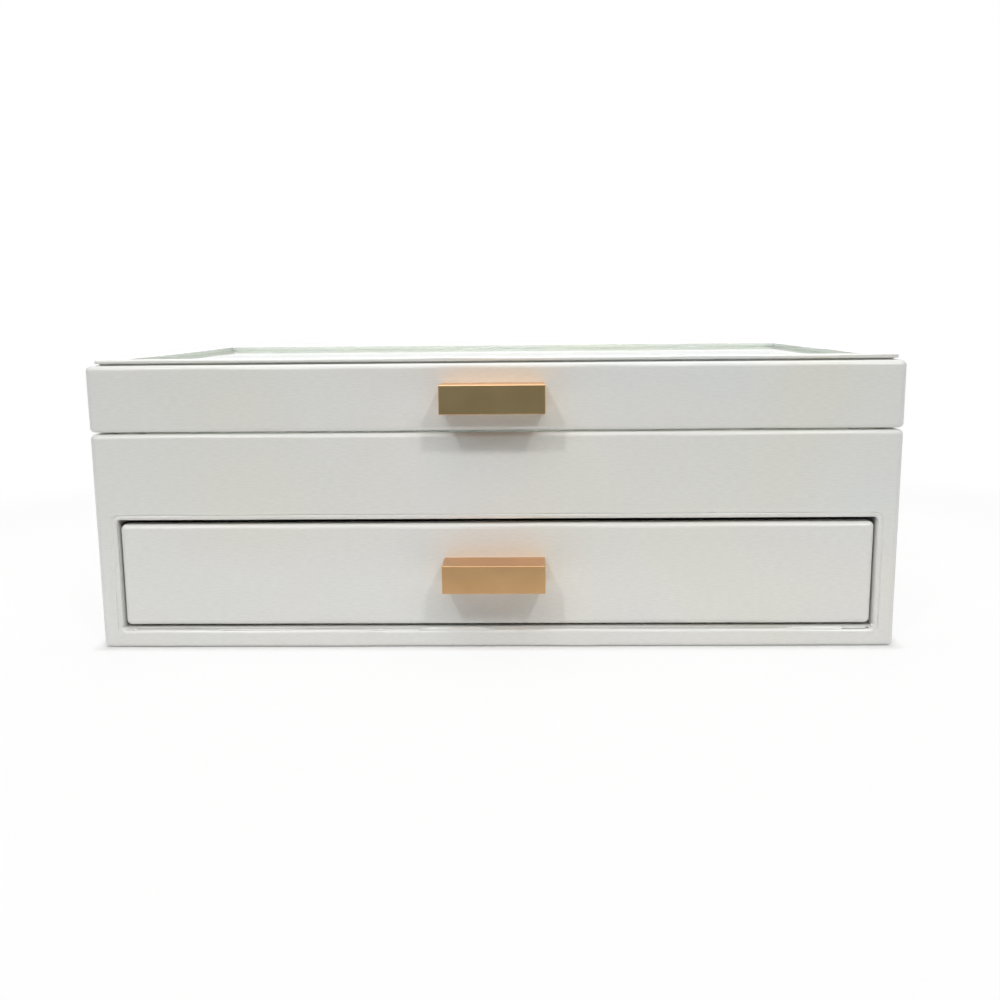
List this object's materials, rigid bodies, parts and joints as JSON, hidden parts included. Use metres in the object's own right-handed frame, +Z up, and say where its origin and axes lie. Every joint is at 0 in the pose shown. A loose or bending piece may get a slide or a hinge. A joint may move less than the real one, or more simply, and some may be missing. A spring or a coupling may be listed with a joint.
{
  "type": "jewelry box with drawer",
  "caption": "Low leatherette-covered jewelry box with a hinged glass-topped lid over a divided tray, a sliding drawer below, and bar pulls on lid and drawer.",
  "frame": {"origin": "on the floor, at the centre of the case's footprint", "axes": "+X to the right of a person facing the drawer, -Y towards them, +Z up"},
  "size_m": [0.318, 0.2136, 0.1159],
  "materials": {
    "leatherette": "off-white fine-grained leatherette, satin",
    "velvet": "short-pile velvet, warm pale grey",
    "felt": "pressed wool felt, dark grey",
    "board": "medium-density fibreboard, bare",
    "glass": "clear float glass, polished",
    "rose_gold": "satin rose-gold plated metal",
    "brass": "plated brass, satin",
    "steel": "zinc-plated steel",
    "bumper": "soft clear elastomer"
  },
  "bodies": {
    "case": {"right_side_board": "board", "left_side_board": "board", "back_board": "board", "base_board": "board", "upper_front_board": "board", "shelf_board": "board", "case_wrap": "leatherette", "base_felt": "felt", "bay_right_lining": "leatherette", "bay_left_lining": "leatherette", "bay_floor_lining": "leatherette", "drawer_guide_strips": "felt", "drawer_stop_pads": "felt", "tray_floor_lining": "velvet", "tray_left_lining": "velvet", "tray_right_lining": "velvet", "tray_front_lining": "velvet", "tray_back_lining": "velvet", "tray_right_divider": "velvet", "tray_left_divider": "velvet", "tray_short_dividers": "velvet", "ring_rolls": "velvet", "left_hinge_case_leaf": "brass", "left_hinge_pin": "brass", "right_hinge_case_leaf": "brass", "right_hinge_pin": "brass", "hinge_case_screws": "brass"},
    "lid": {"lid_left_board": "board", "lid_right_board": "board", "lid_front_board": "board", "lid_back_board": "board", "lid_wrap": "leatherette", "glass_pane": "glass", "lid_top_frame": "leatherette", "glazing_beads": "velvet", "lid_left_lining": "velvet", "lid_right_lining": "velvet", "lid_front_lining": "velvet", "lid_back_lining": "velvet", "lid_bumpers": "bumper", "left_hinge_lid_leaf": "brass", "right_hinge_lid_leaf": "brass", "hinge_lid_screws": "brass", "lid_pull": "rose_gold", "lid_pull_screws": "steel"},
    "drawer": {"drawer_front_wrap": "leatherette", "drawer_front_board": "board", "drawer_left_side": "leatherette", "drawer_right_side": "leatherette", "drawer_back": "leatherette", "drawer_bottom_board": "board", "drawer_floor_lining": "velvet", "drawer_wall_linings": "velvet", "drawer_glides": "felt", "drawer_right_divider": "velvet", "drawer_left_divider": "velvet", "drawer_short_dividers": "velvet", "drawer_pull": "rose_gold", "drawer_pull_screws": "steel"}
  },
  "joints": [
    {"name": "lid_hinge", "type": "hinge", "parent": "case", "child": "lid", "pos_m": [0, 0.098, 0.08735], "axis": [-1, 0, 0], "range_deg": [0, 100]},
    {"name": "drawer_slide", "type": "slide", "parent": "case", "child": "drawer", "axis": [0, -1, 0], "range_m": [0, 0.13]}
  ]
}
